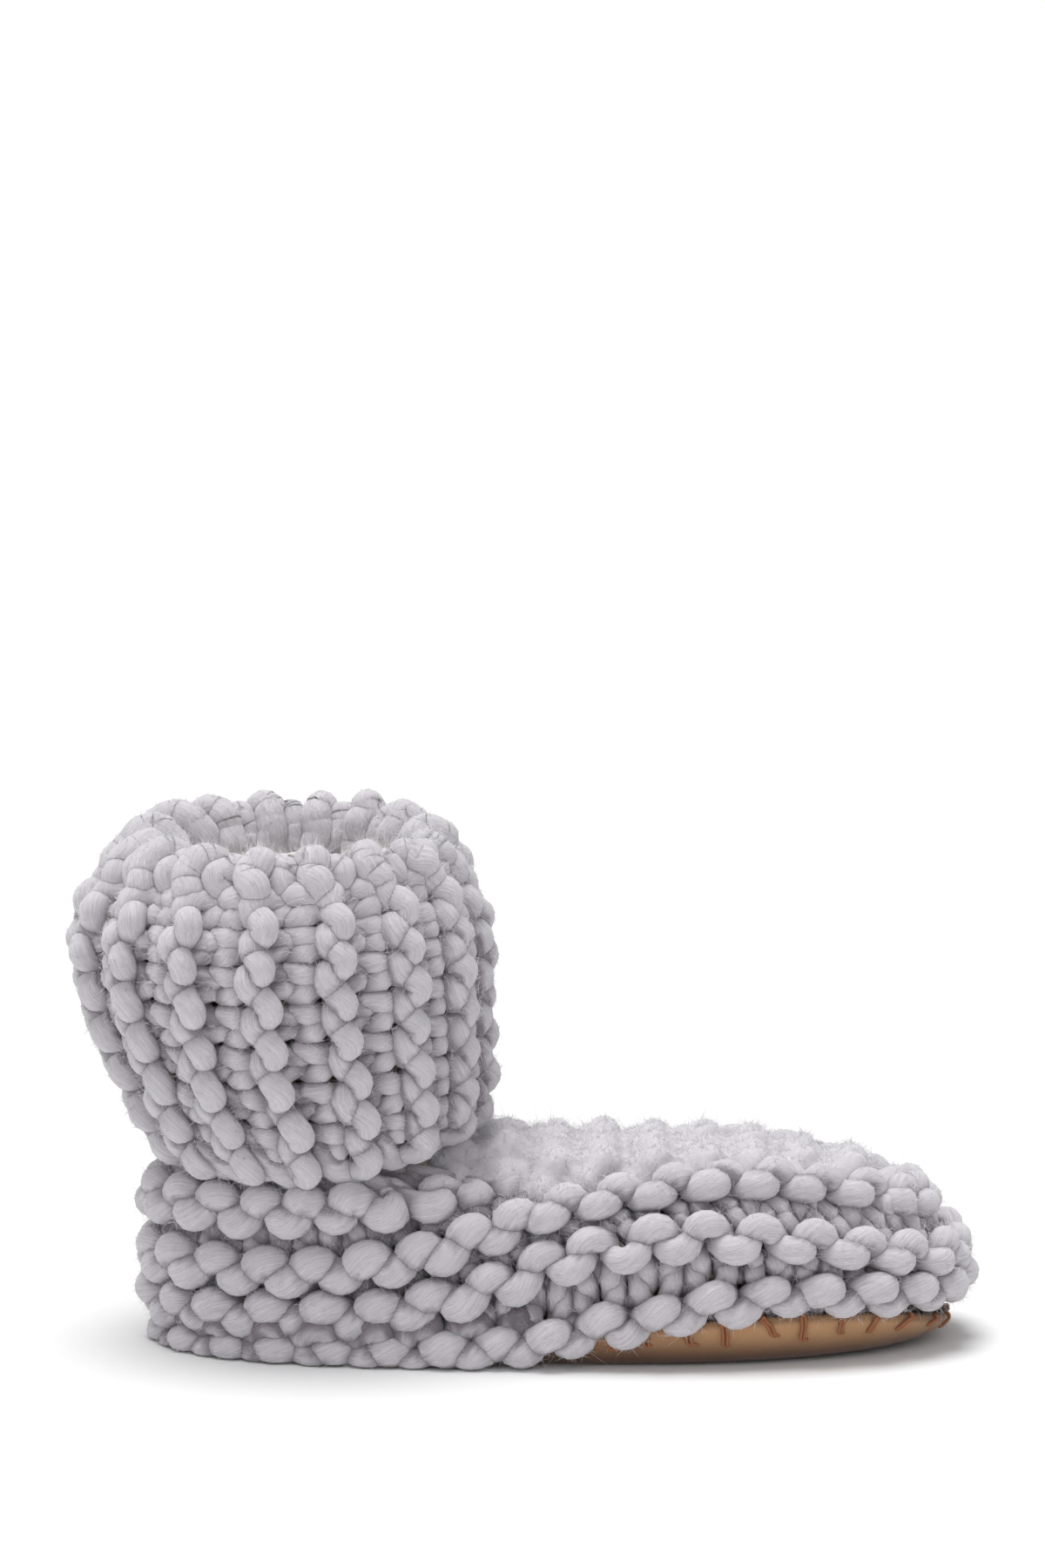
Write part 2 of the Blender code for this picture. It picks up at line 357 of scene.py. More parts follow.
class Sheet:
    """A face that is knitted: a grid of points, stitches along its columns and courses along its rows."""

    def __init__(self, points, first, step, round_u=False, round_v=False, flip=1, inset=0.0):
        self.first, self.step = first, step
        self.round_u, self.round_v = round_u, round_v
        along = self.slope(points, 1, round_u)
        across = self.slope(points, 0, round_v)
        normal = np.cross(along, across) * flip
        self.normals = normal / np.linalg.norm(normal, axis=2, keepdims=True)
        self.points = points - self.normals * inset

    @staticmethod
    def slope(points, axis, closed):
        """How the points change from one to the next along an axis of the grid."""
        if closed:
            return (np.roll(points, -1, axis=axis) - np.roll(points, 1, axis=axis)) / 2
        return np.gradient(points, axis=axis)

    def read(self, grid, u, v):
        """The grid's value at stitches u and courses v."""
        found = 0
        places = []
        for value, first, step, closed, count in (
            (v, self.first[1], self.step[1], self.round_v, grid.shape[0]),
            (u, self.first[0], self.step[0], self.round_u, grid.shape[1]),
        ):
            place = (value - first) / step
            low = np.floor(place).astype(int)
            if not closed:
                low = np.clip(low, 0, count - 2)
            part = place - low
            after = low + 1
            if closed:
                low, after = low % count, after % count
            places.append(((low, 1 - part), (after, part)))
        for row, share_row in places[0]:
            for column, share_column in places[1]:
                found = found + grid[row, column] * (share_row * share_column)[:, None]
        return found

    def lay(self, u, v, w):
        """Points at stitches u and courses v, w in front of the middle of the wall."""
        return self.read(self.points, u, v) + self.facing(u, v) * w[:, None]

    def facing(self, u, v):
        """Unit normals at stitches u and courses v."""
        normal = self.read(self.normals, u, v)
        return normal / np.linalg.norm(normal, axis=1, keepdims=True)


# ---------------------------------------------------------------- the yarns

Yarn = namedtuple("Yarn", "piece points facing height radius looped")


def wander(rng, phase, amount, looped=False):
    """A smooth uneven drift along a yarn, with a new value at each half stitch."""
    place = phase / np.pi
    start = math.floor(place.min()) - 1
    values = rng.normal(0, amount, math.ceil(place.max()) + 3 - start)
    if looped:
        turn = round(place[-1] - place[0])
        values = values[np.arange(len(values)) % turn]
    low = np.floor(place).astype(int)
    part = (1 - np.cos(np.pi * (place - low))) / 2
    return values[low - start] * (1 - part) + values[low - start + 1] * part


def phases(first, last):
    """Phases from one stitch to another, closer together where the yarn swells into a bead."""
    turn = np.arange(round(first * STEPS), round(last * STEPS)) / STEPS * 2 * np.pi
    return turn - CROWD * np.sin(2 * turn)


def garter(number, phase, rng, knit, looped=False, low=1.0, across=1.0, shift=0.0, lock=0.70, relief=1.0,
           calm=1.0, tilt=0.06, swing=SWING, spread=0.0):
    """(u, v, w) along one course.

    Its heads, at phase 0, and its sinkers, at phase pi, overlap the next courses' loops by lock, in courses.
    The heads of even courses and the sinkers of odd ones lie in front. Where calm falls to 0 the yarn runs
    straight, with the even courses in front. low scales the sinkers' reach, swing leans the loops over, and
    spread moves their legs apart.
    """
    front = 1 if number % 2 == 0 else -1
    lean = (np.sin(2 * phase) - np.sin(4 * phase) / 4) * calm
    legs = spread * (np.sin(phase) - np.sin(3 * phase)) / 2 * calm
    u = ((phase + swing * lean) / (2 * np.pi) + legs) * across + shift
    reach = np.cos(phase)
    reach = np.sign(reach) * np.abs(reach) ** 0.75 * np.where(reach > 0, 1, low)
    v = number + ((1 + lock) / 2 * reach + tilt * np.sin(2 * phase)) * calm
    depth = sum(share * np.cos(turn * phase) for turn, share in LOOP)
    w = (front * knit.ridge * depth * calm + knit.fold * np.cos(np.pi * (v - 0.5))) * relief
    w = w + (1.6 + front - RIM_RISE) * MM * (1 - calm)
    u = u + wander(rng, phase, 0.035, looped)
    v = v + wander(rng, phase, 0.06, looped)
    w = w + wander(rng, phase, 0.5 * MM, looped)
    return u, v, w


def crest(knit):
    """How far the yarn's middle stands in front of the wall's on a ridge."""
    return 1.511 * knit.ridge + knit.fold


def run_along(points):
    """Distance along a line of points from its first."""
    return np.concatenate([[0], np.cumsum(np.linalg.norm(np.diff(points, axis=0), axis=1))])


def foot_sheet(knit):
    """(sheet, stitches round it) of the foot, from the leather up to the ankle."""
    fine = np.arange(721) * 2 * np.pi / 720
    ring = ridge_line("middle", fine[:-1])
    run = run_along(np.concatenate([ring, ring[:1]]))
    around = int(round(run[-1] / knit.foot_stitch))
    near = fine[:-1] > np.pi
    wale = np.interp(WALE_X * MM, ring[near, 0], run[:-1][near])
    per = 6
    u = np.arange(around * per) / per
    angle = np.interp((wale + u / around * run[-1]) % run[-1], run, fine)
    rows = threaded(np.stack([ridge_line(name, angle) for name in PLANS]), 10 * 4 + 1)
    sheet = Sheet(rows, (0, -1.5), (1 / per, 0.25), round_u=True, inset=knit.inset)
    sheet.points[..., 2] += sheet.normals[..., 2] * (knit.inset - crest(knit)) - 0.9 * MM
    return sheet, around


def instep_sheet(foot, around, knit):
    """(sheet, number of courses, half width at each course) of the panel over the instep."""
    u = np.arange(0, around, 0.25)
    edge = foot.read(foot.points, u, np.full(len(u), 5.2)) + foot.facing(u, np.full(len(u), 5.2)) * knit.inset
    edge = edge[np.argsort(edge[:, 0])]
    top = np.array(INSTEP_TOP, float) * MM
    x = np.linspace(top[0, 0], top[-1, 0], 60)
    z = np.interp(x, top[:, 0], top[:, 1])
    kernel = np.ones(5) / 5
    z[2:-2] = np.convolve(z, kernel, "valid")
    run = np.concatenate([[0], np.cumsum(np.hypot(np.diff(x), np.diff(z)))])
    courses = int(run[-1] / knit.instep_course)
    v = np.arange(-0.5, courses, 0.25)
    place = (v + 0.5) / (courses + 0.5) * run[-1]
    x, z = np.interp(place, run, x), np.interp(place, run, z)
    across = np.linspace(-1.0, 1.0, 25)
    crown = 1 - np.abs(across) ** 2.6
    points = np.empty((len(x), len(across), 3))
    points[..., 0] = x[:, None]
    back = 7 * MM * (1 - ease(x, -14 * MM, 2 * MM))
    for side, wider in ((-1, 0.0), (1, 2.5 * MM)):
        rim = edge[edge[:, 1] * side > 0]
        half = np.interp(x, rim[:, 0], np.abs(rim[:, 1])) - 3 * MM - back
        half = half + wider * (1 - ease(x, 60 * MM, 90 * MM))
        half = half * (1 - 0.4 * ease(x, 96 * MM, 118 * MM))
        low = np.interp(x, rim[:, 0], rim[:, 2]) + 2 * MM - back
        here = across * side >= 0
        points[:, here, 1] = half[:, None] * across[here]
        points[:, here, 2] = low[:, None] + (z - low)[:, None] * crown[here]
    sheet = Sheet(points, (-1, v[0]), (across[1] - across[0], 0.25), flip=-1)
    sheet.normals *= (0.25, 1, 1)
    sheet.normals /= np.linalg.norm(sheet.normals, axis=2, keepdims=True)
    sheet.points -= sheet.normals * INSTEP_INSET * MM
    return sheet, courses, np.interp(np.arange(courses), v, half)


def cuff_sheet(knit):
    """The sheet of the cuff. Its courses run from the hem up, over the rim and in."""
    per = 4
    count = knit.cuff_courses * per
    v = np.arange(count) / per
    angle = np.radians(270 - 5.7) + (v - 0.5) / knit.cuff_courses * 2 * np.pi
    face = threaded(np.stack([cuff_section(row, angle) for row in CUFF]), 260)
    along = lengths(face)
    total = along[-1]
    stitches = total.mean() / knit.cuff_stitch
    rows = np.arange(0, stitches, 0.25)
    wanted = np.outer(rows / stitches, total)
    points = read_columns(face, along, wanted).transpose(1, 0, 2)
    far = ease(points[..., 1], -10 * MM, 30 * MM) * ease(points[..., 2], 110 * MM, 150 * MM)
    points[..., 2] += FAR_RISE * MM * far
    inset = knit.cuff_inset - RIM_RISE * MM * (1 - rim_calm(rows * 2 * np.pi))
    return Sheet(points, (0, 0), (0.25, 1 / per), round_v=True, flip=-1, inset=inset[None, :, None])


def rim_calm(phase):
    """How strongly a cuff's yarn still loops: fully below the rim, hardly where it runs over the rim."""
    return 1 - 0.95 * ease(phase / (2 * np.pi), 6.4, 7.3)


def knit_yarns(knit):
    """Every yarn of the shoe."""
    rng = np.random.default_rng(11)
    yarns = []

    def add(name, sheet, u, v, w, phase, looped, leg, bead, calm=1.0, rim=0.0):
        points = sheet.lay(u, v, w)
        fat = 1 + HEEL_FAT * np.clip((10 * MM - points[:, 0]) / (50 * MM), 0, 1) * (name == "knit_foot")
        radius = leg + (bead * fat - leg) * (1 - np.sin(phase) ** 4)
        radius = radius * calm + rim * (1 - calm)
        radius = radius * (1 + wander(rng, phase, 0.05, looped))
        yarns.append(Yarn(name, points, sheet.facing(u, v), w, radius, looped))

    foot, around = foot_sheet(knit)
    for number in range(6):
        start = 0.5 * (number % 2 == 0)
        phase = phases(start, start + around)
        low = 0.5 if number == 0 else 1.0
        u, v, w = garter(number, phase, rng, knit, True, low)
        add("knit_foot", foot, u, v, w, phase, True, knit.leg, knit.bead * (1.1 if number == 0 else 1.0))

    u = np.arange(0, around, 0.25)
    for number, stop in ((6, -6), (7, -6), (8, -4), (9, -4)):
        ring = foot.read(foot.points, u, np.full(len(u), float(number)))
        far_end = u[(ring[:, 0] < (stop - 12) * MM) & (ring[:, 1] > 0)]
        near_end = u[(ring[:, 0] < stop * MM) & (ring[:, 1] < 0)]
        first, last = math.ceil(far_end.min()), math.floor(near_end.max())
        if first > last:
            last += around
        phase = phases(first, last + 0.5)
        u1, v1, w1 = garter(number, phase, rng, knit)
        v1 = np.minimum(v1, 9.2)
        ends = np.minimum(phase - phase[0], phase[-1] - phase) / (2 * np.pi)
        w1 = w1 - 7 * MM * (1 - ease(ends, 1.7, 2.2))
        add("knit_foot", foot, u1, v1, w1, phase, False, knit.leg, knit.bead)

    instep, courses, halves = instep_sheet(foot, around, knit)
    for number in range(courses):
        edge = 2 * np.pi * halves[number] / knit.instep_stitch
        phase = phases(-edge / 2 / np.pi, edge / 2 / np.pi)
        u, v, w = garter(number, phase, rng, knit, across=2 * np.pi / edge, lock=0.75, relief=0.9)
        ends = np.minimum(phase - phase[0], phase[-1] - phase)
        w = w - 9 * MM * np.clip(1 - ends / 1.5, 0, 1)
        plump = 1.02 if number % 2 == 0 else 0.8
        w = w - (1.02 - plump) * 6 * MM
        add("knit_instep", instep, u, v, w, phase, False, knit.leg * 1.2, knit.bead * plump)

    cuff = cuff_sheet(knit)
    top = 10.4  # the stitch at which the courses end, down inside
    form = dict(shift=-0.1, lock=0.42, relief=0.75, tilt=-0.07, swing=1.4, spread=0.12)
    for pair in range(knit.cuff_courses // 2):
        odd, even = 2 * pair + 1, 2 * pair + 2
        down = phases(0.25, top)[::-1]
        up = phases(-0.25, top)
        u0, v0, w0 = garter(odd, down[::-1], rng, knit, calm=rim_calm(down[::-1]), **form)
        u2, v2, w2 = garter(even, up, rng, knit, calm=rim_calm(up), **form)
        u0, v0, w0 = u0[::-1], v0[::-1], w0[::-1] - 1.6 * MM * rim_calm(down)
        turn = np.linspace(0, np.pi, 12)[1:-1]
        u1 = u0[-1] + (u2[0] - u0[-1]) * turn / np.pi - 0.45 * np.sin(turn)
        v1 = v0[-1] + (v2[0] - v0[-1]) * (1 - np.cos(turn)) / 2
        w1 = w0[-1] + (w2[0] - w0[-1]) * turn / np.pi - 1.5 * MM * np.sin(turn)
        phase = np.concatenate([down, np.full(len(turn), np.pi), up])
        calm = np.concatenate([rim_calm(down), np.ones(len(turn)), rim_calm(up)])
        u, v, w = np.concatenate([u0, u1, u2]), np.concatenate([v0, v1, v2]), np.concatenate([w0, w1, w2])
        rim = np.repeat((4.5 * MM, 5.2 * MM), (len(down) + len(turn), len(up)))
        add("knit_cuff", cuff, u, v, w, phase, False, knit.cuff_leg, knit.cuff_bead, calm, rim)
    return yarns


def leather_heights(places):
    """Height of the leather, or of the floor beside it, under each place."""
    angle = np.arange(240) * 2 * np.pi / 240
    _, top = leather_faces(angle)
    top = threaded(top, 24)[:-5]
    verts = [Vector(p) for ring in top for p in ring]
    count = len(angle)
    faces = [
        (low + k, low + (k + 1) % count, low + count + (k + 1) % count, low + count + k)
        for low in range(0, (len(top) - 1) * count, count)
        for k in range(count)
    ]
    faces.append(tuple(range(count)))
    tree = BVHTree.FromPolygons(verts, faces)
    down = Vector((0, 0, -1))
    heights = np.zeros(len(places))
    for k, place in enumerate(places):
        hit = tree.ray_cast(Vector((place[0], place[1], 0.1)), down)
        if hit[0] is not None:
            heights[k] = hit[0].z
    return heights


def new_curve(name):
    """An empty curve whose tubes have closed ends."""
    curve = bpy.data.curves.new(name, "CURVE")
    curve.dimensions = "3D"
    curve.use_fill_caps = True
    return curve


def add_spline(curve, points):
    """A new straight-sided line through the points, on the curve."""
    spline = curve.splines.new("POLY")
    spline.points.add(len(points) - 1)
    spline.points.foreach_set("co", np.column_stack([points, np.ones(len(points))]).ravel())
    return spline


def yarn_mesh(name, yarns):
    """(mesh, point of each vertex, angle of each vertex round its yarn)."""
    curve = new_curve(name)
    curve.bevel_depth = 1.0
    curve.bevel_resolution = SIDES // 2 - 2
    curve.twist_mode = "MINIMUM"
    for yarn in yarns:
        spline = add_spline(curve, yarn.points)
        spline.points.foreach_set("radius", yarn.radius)
        spline.use_cyclic_u = yarn.looped
    mesh = from_curve(name, curve)
    starts = np.cumsum([0] + [len(y.points) for y in yarns])
    rings = []
    for k in reversed(range(len(yarns))):
        if not yarns[k].looped:
            rings.append(np.full(SIDES, starts[k + 1] - 1))
            rings.append(np.full(SIDES, starts[k]))
    rings.append(np.repeat(np.arange(starts[-1]), SIDES))
    ring = np.concatenate(rings)
    angle = np.arange(len(mesh.vertices)) % SIDES / SIDES * 2 * np.pi
    return mesh, ring, angle


def from_curve(name, curve):
    """The curve's mesh. The curve is removed."""
    carrier = bpy.data.objects.new(name, curve)
    bpy.context.scene.collection.objects.link(carrier)
    graph = bpy.context.evaluated_depsgraph_get()
    mesh = bpy.data.meshes.new_from_object(carrier.evaluated_get(graph))
    bpy.data.objects.remove(carrier)
    bpy.data.curves.remove(curve)
    mesh.name = name
    return mesh


def read_vertices(mesh):
    """The places of the mesh's vertices."""
    places = np.empty(len(mesh.vertices) * 3)
    mesh.vertices.foreach_get("co", places)
    return places.reshape(-1, 3)


def rest_on_leather(places):
    """Lifts the yarns' skin off the leather and the floor."""
    low = np.nonzero(places[:, 2] < 22 * MM)[0]
    places[low, 2] = np.maximum(places[low, 2], leather_heights(places[low]) + 0.35 * MM)
    return places


def joined(yarns, field):
    """One field of all the yarns, end to end."""
    return np.concatenate([getattr(yarn, field) for yarn in yarns])


def tree_of(points):
    """A tree that finds the points near a place."""
    tree = KDTree(len(points))
    for k, point in enumerate(points):
        tree.insert(point, k)
    tree.balance()
    return tree


def give(mesh, name, values):
    """Gives each vertex a number or a vector, which the materials read by that name."""
    vector = values.ndim == 2
    made = mesh.attributes.new(name, "FLOAT_VECTOR" if vector else "FLOAT", "POINT")
    made.data.foreach_set("vector" if vector else "value", values.ravel())


def gaps(places, yarns):
    """Distance from each vertex of the yarns' skin, per point and side, to the yarn that runs beside it."""
    points, radius = joined(yarns, "points"), joined(yarns, "radius")
    own = np.repeat(np.arange(len(yarns)), [len(yarn.points) for yarn in yarns])
    tree = tree_of(points)
    near = [[k for _, k, _ in tree.find_range(point, 12 * MM)] for point in points]
    starts = np.cumsum([0] + [len(found) for found in near[:-1]])
    first = np.repeat(np.arange(len(points)), [len(found) for found in near])
    other = np.concatenate(near)
    apart = np.abs(first - other)
    turn = np.array([len(yarn.points) if yarn.looped else 10**6 for yarn in yarns])[own[first]]
    beside = (own[first] != own[other]) | (np.minimum(apart, turn - apart) > 0.45 * STEPS)
    found = np.empty((len(points), SIDES))
    for side in range(SIDES):
        apart = np.linalg.norm(places[first, side] - points[other], axis=1) - radius[other]
        found[:, side] = np.minimum.reduceat(np.where(beside, apart, 1.0), starts)
    return found


def mark(mesh, ring, angle, yarns, plain=0.0):
    """Marks where each vertex lies along and round its yarn, and how open it lies.

    The first is for the fibres' streaks. The second is a painted shade: 1 on a bead, and less deep in the
    wall or in the crease beside another yarn. plain lightens it, as on the felted instep, and the cuff's
    upper part is lightened too.
    """
    points, facing = joined(yarns, "points"), joined(yarns, "facing")
    step = np.linalg.norm(np.diff(points, axis=0), axis=1)
    ends = np.cumsum([len(y.points) for y in yarns])[:-1]
    step[ends - 1] = 30 * MM
    run = np.concatenate([[0], np.cumsum(step)])
    turn = angle + 120 * run[ring]
    give(mesh, "strand", np.stack([5 * MM * np.cos(turn), 5 * MM * np.sin(turn), run[ring]], axis=1))
    places = read_vertices(mesh)
    stands = ((places - points[ring]) * facing[ring]).sum(axis=1) + joined(yarns, "height")[ring]
    own = places[len(places) - len(points) * SIDES:].reshape(-1, SIDES, 3)
    gap = gaps(own, yarns)[ring, np.arange(len(places)) % SIDES]
    plain = plain + 0.9 * ease(places[:, 2], 122 * MM, 142 * MM)
    depth = 0.55 + 0.45 * ease(stands, -7 * MM, 1 * MM)
    crease = 0.34 + 0.66 * ease(gap, -0.3 * MM, 1.4 * MM)
    give(mesh, "open", plain + (1 - plain) * depth * crease)


def smooth(mesh, rounds):
    """Merges doubled vertices, softens the form and turns the faces outwards."""
    form = bmesh.new()
    form.from_mesh(mesh)
    bmesh.ops.remove_doubles(form, verts=form.verts, dist=1e-6)
    axes = dict(use_axis_x=True, use_axis_y=True, use_axis_z=True)
    for _ in range(rounds):
        bmesh.ops.smooth_vert(form, verts=form.verts, factor=0.5, **axes)
    bmesh.ops.recalc_face_normals(form, faces=form.faces)
    form.to_mesh(mesh)
    form.free()
    mesh.shade_smooth()


def felt(made):
    """Felts the yarns of a piece into one soft face that keeps their marks."""
    old = made.data.copy()
    apply_modifier(made, "REMESH", mode="VOXEL", voxel_size=1.4 * MM)
    smooth(made.data, 4)
    noisy(made.data, 7 * MM, 0.4 * MM, 9.0)
    places = read_vertices(old)
    nearest = tree_of(places)
    found = [nearest.find(place)[1] for place in read_vertices(made.data)]
    for name, field, size in (("strand", "vector", 3), ("open", "value", 1)):
        values = np.empty(len(places) * size)
        old.attributes[name].data.foreach_get(field, values)
        give(made.data, name, values.reshape(-1, size)[found].squeeze())
    bpy.data.meshes.remove(old)


def hairs(name, yarns, short, long, rng):
    """The mesh of the loose fibres that stand out of the yarns, short straight ones and long bent ones."""
    points, facing, radius = (joined(yarns, field) for field in ("points", "facing", "radius"))
    along = np.concatenate([np.gradient(yarn.points, axis=0) for yarn in yarns])
    along /= np.linalg.norm(along, axis=1, keepdims=True)
    number = short + long
    chosen = rng.choice(np.nonzero(joined(yarns, "height") > -3 * MM)[0], number)
    side = np.cross(along[chosen], facing[chosen])
    side /= np.linalg.norm(side, axis=1, keepdims=True)
    turn = rng.uniform(-1.6, 1.6, number)[:, None]
    out = facing[chosen] * np.cos(turn) + side * np.sin(turn)
    root = points[chosen] + out * radius[chosen, None] * 0.85
    size = np.concatenate([rng.gamma(5.0, 0.5, short) + 0.8, rng.gamma(4.0, 1.1, long)])[:, None] * MM
    size[-long // 60:] *= 2.6
    size = np.minimum(size, 12 * MM)
    sweep = rng.choice([-1, 1], number)[:, None] * rng.uniform(0.3, 2.2, number)[:, None]
    first = out * 0.55 + along[chosen] * sweep + rng.normal(0, 0.35, (number, 3))
    first /= np.linalg.norm(first, axis=1, keepdims=True)
    second = first + rng.normal(0, 0.55, (number, 3))
    second /= np.linalg.norm(second, axis=1, keepdims=True)
    middle = root + first * size / 2
    paths = np.stack([root, middle, middle + second * size / 2], axis=1)
    paths[:, :, 2] = np.maximum(paths[:, :, 2], 0.1 * MM)
    curve = new_curve(name)
    section = bpy.data.curves.new("hair section", "CURVE")
    corners = [(HAIR * MM * math.cos(turn), HAIR * MM * math.sin(turn), 0) for turn in (0, 2.09, 4.19)]
    add_spline(section, corners).use_cyclic_u = True
    carrier = bpy.data.objects.new("hair section", section)
    curve.bevel_mode = "OBJECT"
    curve.bevel_object = carrier
    for k, path in enumerate(paths):
        path, taper = (path[::2], (1.0, 0.0)) if k < short else (path, (1.0, 0.75, 0.0))
        add_spline(curve, path).points.foreach_set("radius", taper)
    mesh = from_curve(name, curve)
    bpy.data.objects.remove(carrier)
    bpy.data.curves.remove(section)
    return mesh


# ---------------------------------------------------------------- leather, thread and fleece


def skin(name, rings):
    """A mesh with quads between neighbouring rings. A ring shrunk to a point closes an end."""
    form = bmesh.new()
    rows = [[form.verts.new(place) for place in ring] for ring in rings]
    count = len(rows[0])
    for low, high in zip(rows, rows[1:]):
        for k in range(count):
            after = (k + 1) % count
            form.faces.new((low[k], low[after], high[after], high[k]))
    mesh = bpy.data.meshes.new(name)
    form.to_mesh(mesh)
    form.free()
    return mesh


def towards_middle(ring, steps):
    """Copies of a ring that shrink to its middle."""
    middle = ring.mean(axis=0)
    return [middle + (ring - middle) * share for share in steps]


def rim_places(pitch, start):
    """(angles evenly spaced along the leather's rim for the whip stitches, length of the rim)."""
    fine = np.arange(1441) * 2 * np.pi / 1440
    rim = foot_section(SOLE[-1], fine)
    run = run_along(rim)
    near = fine > np.pi
    first = np.interp(start, rim[near, 0], run[near])
    number = int(round(run[-1] / pitch))
    return np.interp((first + np.arange(number) / number * run[-1]) % run[-1], run, fine), run[-1]


def leather_sheet():
    """The leather's outer face, as a sheet with u in degrees and v in rows up to its rim."""
    angle = np.arange(720) * 2 * np.pi / 720
    under, _ = leather_faces(angle)
    return Sheet(threaded(under, RIM_ROW + 1), (0, 0), (0.5, 1), round_u=True)


def whip_stitch(sheet, degrees, per_degree, rng):
    """The two strands of one stitch: up the leather's outside, over its rim and into the knitting."""
    top = np.array([degrees]), np.array([float(RIM_ROW)])
    rim = sheet.lay(*top, np.zeros(1))[0]
    toe = np.clip((rim[0] - 98 * MM) / (14 * MM), 0, 1) * (1 if rim[1] < 0 else -1)
    lean = (2.2 * (1 - abs(toe)) - 5.0 * toe + rng.normal(0, 0.7)) * MM
    tick = (0.8 * (1 - abs(toe)) + rng.normal(0, 0.3)) * MM
    deep = (4.4 - 0.8 * abs(toe) + rng.normal(0, 0.8)) * MM
    strands = []
    for beside in (-0.42, 0.42):
        along = np.array([lean + tick, lean * 0.9, lean * 0.5, 0, 0]) + beside * MM
        down = np.array([1.08, 0.95, 0.5, 0.06, 0.0]) * deep
        rows = RIM_ROW - down / (0.52 * MM)
        u = degrees + along / per_degree
        face = sheet.lay(u, rows, np.array([0.0, 0.42, 0.62, 0.55, 0.3]) * MM)
        over = rim + np.array((0, 0, 0.75 * MM))
        inwards = -sheet.facing(*top)[0] * (1, 1, 0)
        inside = rim + inwards * 3.2 * MM + np.array((0, 0, 0.2 * MM))
        strands.append(smooth_path(np.array([*face, over, inside]), 3))
    return strands


def smooth_path(path, per):
    """The path with that many steps between neighbouring points, on a smooth curve through them."""
    return threaded(path[:, None, :], (len(path) - 1) * per + 1)[:, 0]


def noisy(mesh, size, amount, seed):
    """Moves each vertex along its normal by a smooth noise of that grain."""
    offset = Vector((seed, seed * 0.7, seed * 1.3))
    places = read_vertices(mesh)
    normals = np.empty(len(places) * 3)
    mesh.vertex_normals.foreach_get("vector", normals)
    lift = [
        noise.noise(Vector(place) / size + offset) + 0.5 * noise.noise(Vector(place) / size * 2.3 - offset)
        for place in places
    ]
    places = places + normals.reshape(-1, 3) * np.array(lift)[:, None] * amount
    mesh.vertices.foreach_set("co", places.ravel())


def lining_rings():
    """Rings of the fleece's face, from its ragged top in the collar down the leg and through the foot."""
    angle = np.arange(108) * 2 * np.pi / 108
    leg = [cuff_section(row, angle) for row in LEG]
    face = np.stack([foot_section(row, angle) for row in UPPER[:-1]])
    normal = outward(face)
    depth = np.full(len(face), 20.0)
    depth[-1], depth[-2], depth[-3] = 14.5, 17.0, 19.0
    inner = face - normal * depth[:, None, None] * MM
    last = inner[0].copy()
    last[:, 2] = 6.5 * MM
    rows = np.stack([*leg, *inner[::-1], last])
    return threaded(rows, 64)


# ---------------------------------------------------------------- materials


def group(name, *outputs):
    """(node group, its output node) with those float outputs."""
    made = bpy.data.node_groups.new(name, "ShaderNodeTree")
    for output in outputs:
        made.interface.new_socket(name=output, in_out="OUTPUT", socket_type="NodeSocketFloat")
    return made, made.nodes.new("NodeGroupOutput")


def fibres():
    """The node group for the fine streaks along a yarn."""
    made, out = group("fibres", "Streak")
    where = made.nodes.new("ShaderNodeAttribute")
    where.attribute_name = "strand"
    scale = made.nodes.new("ShaderNodeMapping")
    scale.inputs["Scale"].default_value = (4200, 4200, 150)
    grain = made.nodes.new("ShaderNodeTexNoise")
    grain.inputs["Scale"].default_value = 1.0
    grain.inputs["Detail"].default_value = 5
    grain.inputs["Roughness"].default_value = 0.62
    made.links.new(where.outputs["Vector"], scale.inputs["Vector"])
    made.links.new(scale.outputs["Vector"], grain.inputs["Vector"])
    made.links.new(grain.outputs["Fac"], out.inputs["Streak"])
    return made


def pile():
    """The node group for the grain of fleece, felt and suede."""
    made, out = group("pile", "Clump", "Felt", "Nap")
    where = made.nodes.new("ShaderNodeTexCoord")
    for output, size in (("Clump", 260), ("Felt", 900), ("Nap", 2600)):
        grain = made.nodes.new("ShaderNodeTexNoise")
        grain.inputs["Scale"].default_value = size
        grain.inputs["Detail"].default_value = 4
        grain.inputs["Roughness"].default_value = 0.6
        made.links.new(where.outputs["Object"], grain.inputs["Vector"])
        made.links.new(grain.outputs["Fac"], out.inputs[output])
    return made


def plain_material(name, colour, roughness):
    """A material of one colour."""
    made = bpy.data.materials.new(name)
    made.use_nodes = True
    surface = made.node_tree.nodes["Principled BSDF"]
    surface.inputs["Base Color"].default_value = (*colour, 1)
    surface.inputs["Roughness"].default_value = roughness
    return made


def soften(made, weight, depth):
    """Lets light spread a little way under the surface."""
    surface = made.node_tree.nodes["Principled BSDF"]
    surface.inputs["Subsurface Weight"].default_value = weight
    surface.inputs["Subsurface Radius"].default_value = (1.0, 1.0, 1.0)
    surface.inputs["Subsurface Scale"].default_value = depth * MM


